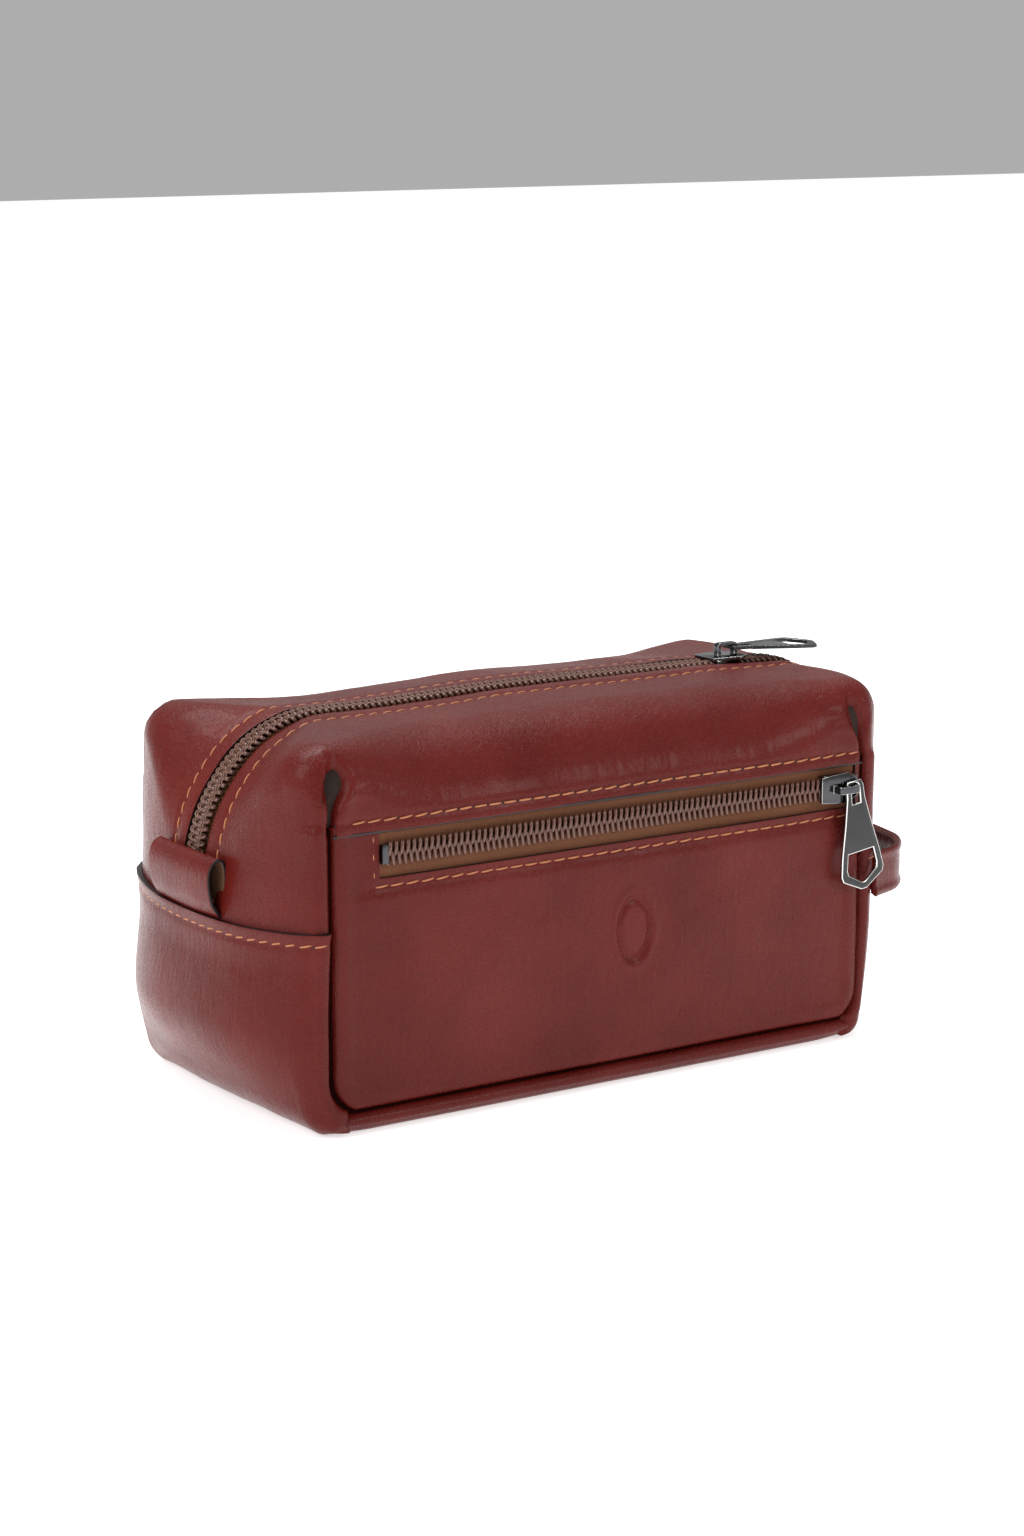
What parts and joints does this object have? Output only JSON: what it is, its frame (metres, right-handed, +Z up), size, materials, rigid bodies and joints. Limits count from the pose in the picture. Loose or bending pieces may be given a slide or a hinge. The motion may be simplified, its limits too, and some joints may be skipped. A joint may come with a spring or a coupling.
{
  "type": "shaving kit bag",
  "caption": "Box-shaped leather wash bag with a zip over the top and both ends, a front zip pocket, a zip tab and a side handle.",
  "frame": {"origin": "centre of the base's underside, which rests on the surface", "axes": "+X to the right along the main zip, -Y to the front with the zip pocket, +Z up"},
  "size_m": [0.2732, 0.1218, 0.1313],
  "materials": {
    "leather": "glossy reddish brown",
    "board": "matte",
    "lining": "fine twill",
    "tape": "woven",
    "coil": "satin coil",
    "gunmetal": "polished black nickel"
  },
  "bodies": {
    "bag_body": {"bottom_panel": "leather", "front_panel": "leather", "back_panel": "leather", "end_gusset_left": "leather", "end_gusset_right": "leather", "front_piping": "leather", "back_piping": "leather", "front_upper_end_left": "leather", "front_upper_end_right": "leather", "back_upper_end_left": "leather", "back_upper_end_right": "leather", "zip_tab_left": "leather", "side_handle": "leather", "base_stiffener": "board", "lining_bottom": "lining", "lining_front": "lining", "lining_back": "lining", "lining_left": "lining", "lining_right": "lining", "pocket_pouch_front": "lining", "pocket_pouch_back": "lining", "main_tape_front_left": "tape", "main_tape_front_right": "tape", "main_coil_front_left": "coil", "main_coil_front_right": "coil", "main_tape_back_left": "tape", "main_tape_back_right": "tape", "main_coil_back_left": "coil", "main_coil_back_right": "coil", "pocket_tape_upper": "tape", "pocket_tape_lower": "tape", "pocket_coil_upper": "coil", "pocket_coil_lower": "coil", "main_stop_left": "gunmetal", "main_stop_right": "gunmetal", "pocket_bottom_stop": "gunmetal", "pocket_top_stops": "gunmetal"},
    "front_lip": {"top_front_panel": "leather", "top_front_lining": "lining", "main_tape_front": "tape", "main_coil_front": "coil"},
    "back_lip": {"top_back_panel": "leather", "top_back_lining": "lining", "main_tape_back": "tape", "main_coil_back": "coil"},
    "main_slider": {"main_slider": "gunmetal"},
    "main_pull": {"main_pull": "gunmetal"},
    "pocket_slider": {"pocket_slider": "gunmetal"},
    "pocket_pull": {"pocket_pull": "gunmetal"}
  },
  "joints": [
    {"name": "main_slider_run", "type": "slide", "parent": "bag_body", "child": "main_slider", "axis": [-1, 0, 0], "range_m": [0, 0.162], "deforming": ["main_coil_front", "main_coil_back", "main_coil_front_left", "main_coil_back_left", "main_coil_front_right", "main_coil_back_right"]},
    {"name": "front_lip_swing", "type": "hinge", "parent": "bag_body", "child": "front_lip", "pos_m": [-0.095, 0, 0.12], "axis": [0, 0, -1], "range_deg": [0, 6]},
    {"name": "back_lip_swing", "type": "hinge", "parent": "bag_body", "child": "back_lip", "pos_m": [-0.095, 0, 0.12], "axis": [0, 0, 1], "range_deg": [0, 6]},
    {"name": "main_pull_flip", "type": "hinge", "parent": "main_slider", "child": "main_pull", "pos_m": [0.0907, 0, 0.12945], "axis": [0, -1, 0], "range_deg": [0, 165]},
    {"name": "pocket_slider_run", "type": "slide", "parent": "bag_body", "child": "pocket_slider", "axis": [-1, 0, 0], "range_m": [0, 0.166], "deforming": ["pocket_coil_upper", "pocket_coil_lower"]},
    {"name": "pocket_pull_swing", "type": "hinge", "parent": "pocket_slider", "child": "pocket_pull", "pos_m": [0.09785, -0.06065, 0.0892], "axis": [0, 1, 0], "range_deg": [-45, 40]}
  ],
  "couplings": [
    {"joint": "front_lip_swing", "follows": "main_slider_run", "rad_per_m": 0.64577},
    {"joint": "back_lip_swing", "follows": "main_slider_run", "rad_per_m": 0.64577}
  ]
}
